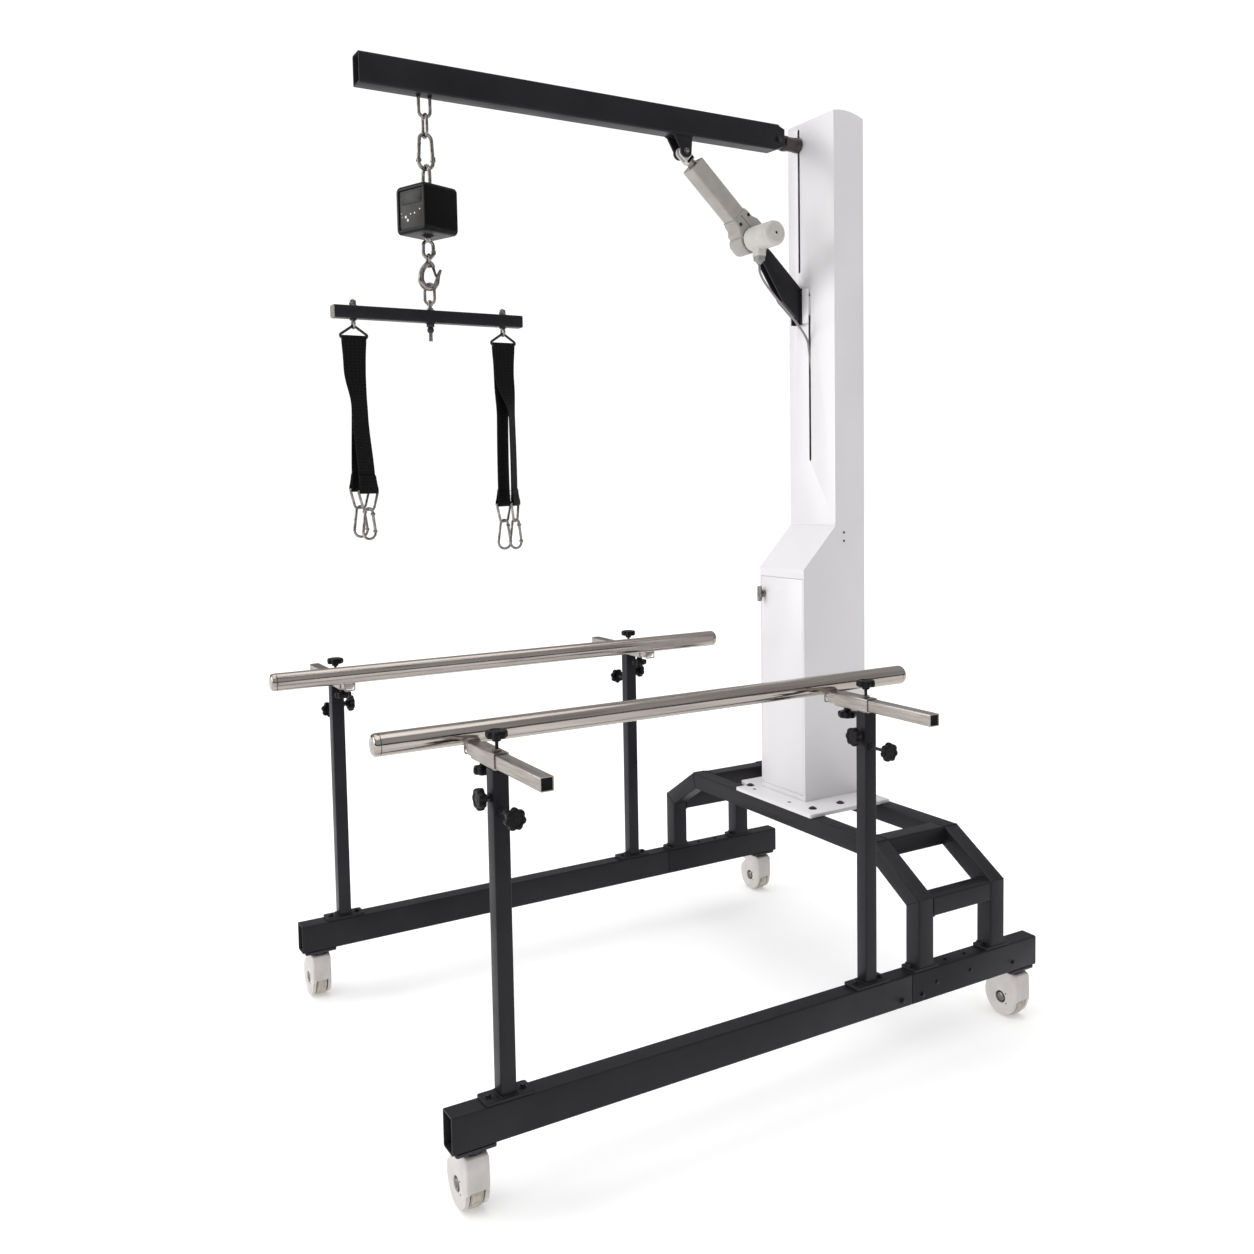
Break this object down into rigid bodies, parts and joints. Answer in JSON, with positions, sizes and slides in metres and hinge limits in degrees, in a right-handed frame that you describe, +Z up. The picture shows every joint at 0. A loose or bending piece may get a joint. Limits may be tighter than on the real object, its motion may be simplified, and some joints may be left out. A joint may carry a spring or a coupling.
{
  "type": "gait trainer",
  "caption": "Wheeled walking frame with adjustable handrails and a lifting column whose boom carries a scale, spreader bar and harness straps.",
  "frame": {"origin": "on the floor under the centre of the bounding box, midway between the two side rails", "axes": "+Z up, +Y towards the lifting column, -Y towards the open end where the user walks in, +X to the side nearer the pictured camera"},
  "size_m": [1.4108, 1.554, 2.2207],
  "materials": {
    "black_steel": "satin black powder coat",
    "white_steel": "white powder coat",
    "stainless": "polished stainless",
    "brushed": "brushed stainless",
    "black_plastic": "moulded, matte",
    "grey_plastic": "moulded, fine texture",
    "white_plastic": "moulded, satin",
    "tread": "beige grey, non-marking",
    "zinc_steel": "bright zinc plate",
    "webbing": "woven polyester webbing"
  },
  "bodies": {
    "frame": {"front_rail_near": "black_steel", "front_rail_far": "black_steel", "rear_rail_near": "black_steel", "rear_rail_far": "black_steel", "post_near_front": "black_steel", "post_near_rear": "black_steel", "post_far_front": "black_steel", "post_far_rear": "black_steel", "bridge_arch_front": "black_steel", "bridge_arch_rear": "black_steel", "bridge_low_bar_near": "black_steel", "bridge_low_bar_far": "black_steel", "bridge_top_bar_near": "black_steel", "bridge_top_bar_far": "black_steel", "column_base": "white_steel", "column_cover": "white_steel", "actuator_cable": "grey_plastic"},
    "caster_near_front": {"caster_hood_near_front": "white_plastic"},
    "wheel_near_front": {"caster_wheel_near_front": "tread"},
    "caster_near_rear": {"caster_hood_near_rear": "white_plastic"},
    "wheel_near_rear": {"caster_wheel_near_rear": "tread"},
    "caster_far_front": {"caster_hood_far_front": "white_plastic"},
    "wheel_far_front": {"caster_wheel_far_front": "tread"},
    "caster_far_rear": {"caster_hood_far_rear": "white_plastic"},
    "wheel_far_rear": {"caster_wheel_far_rear": "tread"},
    "height_near": {"inner_post_near_front": "brushed", "inner_post_near_rear": "brushed"},
    "railing_near": {"handrail_near": "stainless"},
    "clamp_turn_near_front": {"clamp_knob_near_front": "black_plastic"},
    "height_turn_near_front": {"height_knob_near_front": "black_plastic"},
    "clamp_turn_near_rear": {"clamp_knob_near_rear": "black_plastic"},
    "height_turn_near_rear": {"height_knob_near_rear": "black_plastic"},
    "height_far": {"inner_post_far_front": "brushed", "inner_post_far_rear": "brushed"},
    "railing_far": {"handrail_far": "stainless"},
    "clamp_turn_far_front": {"clamp_knob_far_front": "black_plastic"},
    "height_turn_far_front": {"height_knob_far_front": "black_plastic"},
    "clamp_turn_far_rear": {"clamp_knob_far_rear": "black_plastic"},
    "height_turn_far_rear": {"height_knob_far_rear": "black_plastic"},
    "door": {"column_door": "white_steel"},
    "latch": {"door_latch": "black_plastic"},
    "lift": {"lift_carriage": "black_steel", "actuator_bracket": "black_steel"},
    "boom": {"boom": "black_steel"},
    "actuator": {"actuator_body": "grey_plastic"},
    "rod": {"actuator_rod": "zinc_steel"},
    "link": {"hanging_link": "zinc_steel"},
    "carabiner": {"carabiner": "zinc_steel"},
    "scale": {"crane_scale": "black_plastic"},
    "lower_link": {"lower_link": "black_steel"},
    "hook": {"swivel_hook": "zinc_steel"},
    "spreader": {"spreader_bar": "black_steel"},
    "ring_front": {"strap_ring_front": "black_steel"},
    "strap_front": {"strap_front": "webbing"},
    "snap_front_left": {"snap_front_left": "zinc_steel"},
    "snap_front_right": {"snap_front_right": "zinc_steel"},
    "ring_rear": {"strap_ring_rear": "black_steel"},
    "strap_rear": {"strap_rear": "webbing"},
    "snap_rear_left": {"snap_rear_left": "zinc_steel"},
    "snap_rear_right": {"snap_rear_right": "zinc_steel"}
  },
  "joints": [
    {"name": "swivel_near_front", "type": "hinge", "parent": "frame", "child": "caster_near_front", "pos_m": [0.5055, -0.654, 0.046], "axis": [0, 0, 1], "continuous": true},
    {"name": "roll_near_front", "type": "hinge", "parent": "caster_near_front", "child": "wheel_near_front", "pos_m": [0.4815, -0.654, 0.046], "axis": [0, 1, 0], "continuous": true},
    {"name": "swivel_near_rear", "type": "hinge", "parent": "frame", "child": "caster_near_rear", "pos_m": [0.5055, 0.731, 0.046], "axis": [0, 0, 1], "continuous": true},
    {"name": "roll_near_rear", "type": "hinge", "parent": "caster_near_rear", "child": "wheel_near_rear", "pos_m": [0.4815, 0.731, 0.046], "axis": [0, 1, 0], "continuous": true},
    {"name": "swivel_far_front", "type": "hinge", "parent": "frame", "child": "caster_far_front", "pos_m": [-0.5055, -0.654, 0.046], "axis": [0, 0, 1], "continuous": true},
    {"name": "roll_far_front", "type": "hinge", "parent": "caster_far_front", "child": "wheel_far_front", "pos_m": [-0.5295, -0.654, 0.046], "axis": [0, 1, 0], "continuous": true},
    {"name": "swivel_far_rear", "type": "hinge", "parent": "frame", "child": "caster_far_rear", "pos_m": [-0.5055, 0.731, 0.046], "axis": [0, 0, 1], "continuous": true},
    {"name": "roll_far_rear", "type": "hinge", "parent": "caster_far_rear", "child": "wheel_far_rear", "pos_m": [-0.5295, 0.731, 0.046], "axis": [0, 1, 0], "continuous": true},
    {"name": "handrail_height_near", "type": "slide", "parent": "frame", "child": "height_near", "axis": [0, 0, 1], "range_m": [0, 0.25]},
    {"name": "handrail_width_near", "type": "slide", "parent": "height_near", "child": "railing_near", "axis": [-1, 0, 0], "range_m": [0, 0.16]},
    {"name": "clamp_near_front", "type": "hinge", "parent": "height_near", "child": "clamp_turn_near_front", "pos_m": [0.505, -0.588, 0.823], "axis": [0, 0, 1], "range_deg": [0, 360]},
    {"name": "height_clamp_near_front", "type": "hinge", "parent": "frame", "child": "height_turn_near_front", "pos_m": [0.5055, -0.588, 0.718], "axis": [1, 0, 0], "range_deg": [0, 360]},
    {"name": "clamp_near_rear", "type": "hinge", "parent": "height_near", "child": "clamp_turn_near_rear", "pos_m": [0.505, 0.267, 0.823], "axis": [0, 0, 1], "range_deg": [0, 360]},
    {"name": "height_clamp_near_rear", "type": "hinge", "parent": "frame", "child": "height_turn_near_rear", "pos_m": [0.5055, 0.267, 0.718], "axis": [1, 0, 0], "range_deg": [0, 360]},
    {"name": "handrail_height_far", "type": "slide", "parent": "frame", "child": "height_far", "axis": [0, 0, 1], "range_m": [0, 0.25]},
    {"name": "handrail_width_far", "type": "slide", "parent": "height_far", "child": "railing_far", "axis": [1, 0, 0], "range_m": [0, 0.16]},
    {"name": "clamp_far_front", "type": "hinge", "parent": "height_far", "child": "clamp_turn_far_front", "pos_m": [-0.505, -0.588, 0.823], "axis": [0, 0, 1], "range_deg": [0, 360]},
    {"name": "height_clamp_far_front", "type": "hinge", "parent": "frame", "child": "height_turn_far_front", "pos_m": [-0.5055, -0.588, 0.718], "axis": [-1, 0, 0], "range_deg": [0, 360]},
    {"name": "clamp_far_rear", "type": "hinge", "parent": "height_far", "child": "clamp_turn_far_rear", "pos_m": [-0.505, 0.267, 0.823], "axis": [0, 0, 1], "range_deg": [0, 360]},
    {"name": "height_clamp_far_rear", "type": "hinge", "parent": "frame", "child": "height_turn_far_rear", "pos_m": [-0.5055, 0.267, 0.718], "axis": [-1, 0, 0], "range_deg": [0, 360]},
    {"name": "door_hinge", "type": "hinge", "parent": "frame", "child": "door", "pos_m": [0.0568, 0.4569, 0.4735], "axis": [0, 0, 1], "range_deg": [0, 110]},
    {"name": "latch_turn", "type": "hinge", "parent": "door", "child": "latch", "pos_m": [-0.1065, 0.4569, 0.987], "axis": [0, 1, 0], "range_deg": [0, 90]},
    {"name": "lift", "type": "slide", "parent": "frame", "child": "lift", "axis": [0, 0, 1], "range_m": [-0.3, 0], "deforming": ["actuator_cable"]},
    {"name": "boom_tilt", "type": "hinge", "parent": "lift", "child": "boom", "pos_m": [-0.078, 0.4844, 2.1631], "axis": [1, 0, 0], "range_deg": [-20, 2]},
    {"name": "actuator_tilt", "type": "hinge", "parent": "lift", "child": "actuator", "pos_m": [-0.078, 0.4374, 1.8834], "axis": [1, 0, 0], "range_deg": [-10.5, 1.1], "deforming": ["actuator_cable"]},
    {"name": "rod_slide", "type": "slide", "parent": "actuator", "child": "rod", "axis": [0, -0.7406, 0.672], "range_m": [-0.008, 0.08]},
    {"name": "link_swing", "type": "hinge", "parent": "boom", "child": "link", "pos_m": [-0.078, -0.4695, 2.1036], "axis": [1, 0, 0], "range_deg": [-30, 30]},
    {"name": "carabiner_swing", "type": "hinge", "parent": "link", "child": "carabiner", "pos_m": [-0.078, -0.4695, 2.0382], "axis": [1, 0, 0], "range_deg": [-20, 20]},
    {"name": "scale_swing", "type": "hinge", "parent": "carabiner", "child": "scale", "pos_m": [-0.078, -0.4695, 1.9967], "axis": [1, 0, 0], "range_deg": [-20, 20]},
    {"name": "link_swivel", "type": "hinge", "parent": "scale", "child": "lower_link", "pos_m": [-0.078, -0.4695, 1.8363], "axis": [0, 0, 1], "continuous": true},
    {"name": "hook_swing", "type": "hinge", "parent": "lower_link", "child": "hook", "pos_m": [-0.078, -0.4695, 1.8003], "axis": [1, 0, 0], "range_deg": [-20, 20]},
    {"name": "spreader_swing", "type": "hinge", "parent": "hook", "child": "spreader", "pos_m": [-0.078, -0.4695, 1.7409], "axis": [1, 0, 0], "range_deg": [-20, 20]},
    {"name": "ring_swing_front", "type": "hinge", "parent": "spreader", "child": "ring_front", "pos_m": [-0.078, -0.6425, 1.6274], "axis": [1, 0, 0], "range_deg": [-15, 15]},
    {"name": "strap_swing_front", "type": "hinge", "parent": "ring_front", "child": "strap_front", "pos_m": [-0.078, -0.6425, 1.6067], "axis": [0, 1, 0], "range_deg": [-25, 25]},
    {"name": "snap_swing_front_left", "type": "hinge", "parent": "strap_front", "child": "snap_front_left", "pos_m": [-0.0896, -0.6425, 1.2837], "axis": [0, 1, 0], "range_deg": [-4, 30]},
    {"name": "snap_swing_front_right", "type": "hinge", "parent": "strap_front", "child": "snap_front_right", "pos_m": [-0.0664, -0.6425, 1.2837], "axis": [0, 1, 0], "range_deg": [-30, 4]},
    {"name": "ring_swing_rear", "type": "hinge", "parent": "spreader", "child": "ring_rear", "pos_m": [-0.078, -0.2965, 1.6274], "axis": [1, 0, 0], "range_deg": [-15, 15]},
    {"name": "strap_swing_rear", "type": "hinge", "parent": "ring_rear", "child": "strap_rear", "pos_m": [-0.078, -0.2965, 1.6067], "axis": [0, 1, 0], "range_deg": [-25, 25]},
    {"name": "snap_swing_rear_left", "type": "hinge", "parent": "strap_rear", "child": "snap_rear_left", "pos_m": [-0.0896, -0.2965, 1.2447], "axis": [0, 1, 0], "range_deg": [-4, 30]},
    {"name": "snap_swing_rear_right", "type": "hinge", "parent": "strap_rear", "child": "snap_rear_right", "pos_m": [-0.0664, -0.2965, 1.2447], "axis": [0, 1, 0], "range_deg": [-30, 4]}
  ],
  "couplings": [
    {"joint": "actuator_tilt", "follows": "boom_tilt", "ratio": 0.52055},
    {"joint": "rod_slide", "follows": "boom_tilt", "m_per_rad": -0.2262}
  ]
}
